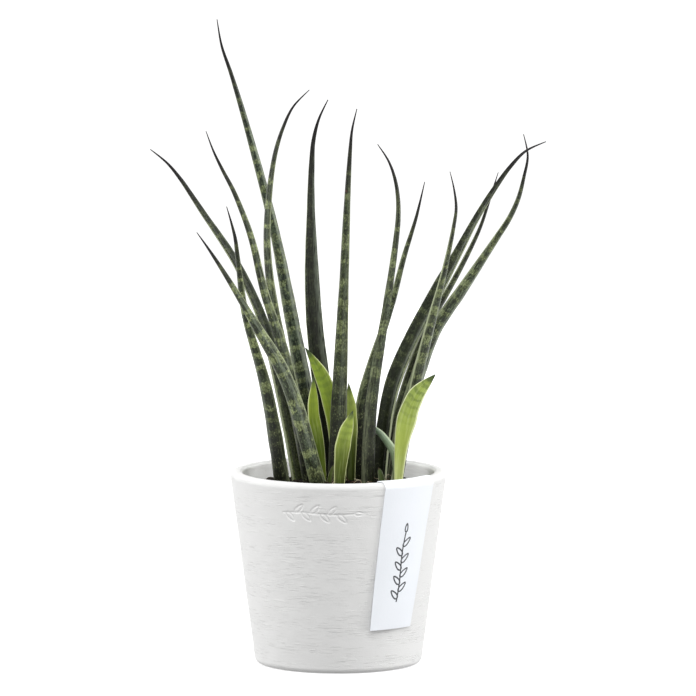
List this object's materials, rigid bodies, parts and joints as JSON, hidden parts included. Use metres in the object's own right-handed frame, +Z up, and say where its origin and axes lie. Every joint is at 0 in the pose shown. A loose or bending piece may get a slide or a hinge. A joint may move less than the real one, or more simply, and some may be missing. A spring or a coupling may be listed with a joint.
{
  "type": "potted snake plant",
  "caption": "Snake plant with long, narrow, grooved leaves that fan out and taper to fine points, in a plain white tapered pot filled with soil, with a card label folded over the rim.",
  "frame": {"origin": "centre of the pot's flat base, on the surface it stands on", "axes": "+Z up, along the plant; -Y is the plant's front, +X to the right seen from the front"},
  "size_m": [0.1922, 0.105, 0.312],
  "materials": {
    "pot": "matte",
    "soil": "matte",
    "label": "satin",
    "leaf": "satin",
    "young_leaf": "satin"
  },
  "bodies": {
    "root": {"pot": "pot", "potting_soil": "soil", "hang_label": "label", "left_leaf_1": "leaf", "left_leaf_2": "leaf", "left_leaf_3": "leaf", "left_leaf_4": "leaf", "left_leaf_5": "leaf", "middle_leaf_1": "leaf", "middle_leaf_2": "leaf", "middle_leaf_3": "leaf", "right_leaf_1": "leaf", "right_leaf_2": "leaf", "right_leaf_3": "leaf", "right_leaf_4": "leaf", "right_leaf_5": "leaf", "right_leaf_6": "leaf", "young_leaf_1": "young_leaf", "young_leaf_2": "young_leaf", "young_leaf_3": "young_leaf", "young_leaf_4": "young_leaf", "young_leaf_5": "young_leaf", "young_leaf_6": "leaf"}
  },
  "joints": []
}
